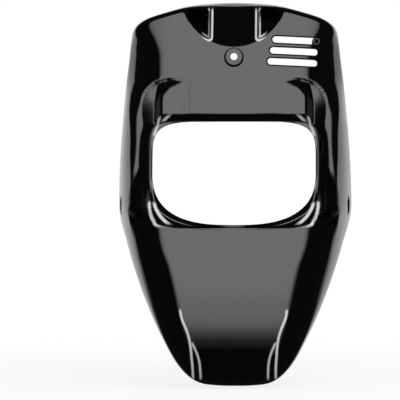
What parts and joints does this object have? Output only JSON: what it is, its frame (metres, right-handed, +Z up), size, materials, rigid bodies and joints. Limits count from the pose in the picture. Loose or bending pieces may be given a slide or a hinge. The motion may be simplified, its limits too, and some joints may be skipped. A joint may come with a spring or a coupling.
{
  "type": "motorcycle front fairing",
  "caption": "Glossy moulded front cover for a small motorcycle, with a headlight opening, a scooped top edge, vent slots at one side and screw seats.",
  "frame": {"origin": "middle of the seat under the head of the top centre screw, on the front side", "axes": "+Z up as mounted, -Y forward out of the front face, +X to the viewer's right when facing the front"},
  "size_m": [0.3002, 0.1157, 0.4915],
  "materials": {
    "lacquer": "gloss black lacquer in front, plain moulded back"
  },
  "bodies": {
    "root": {"fairing_panel": "lacquer"}
  },
  "joints": []
}
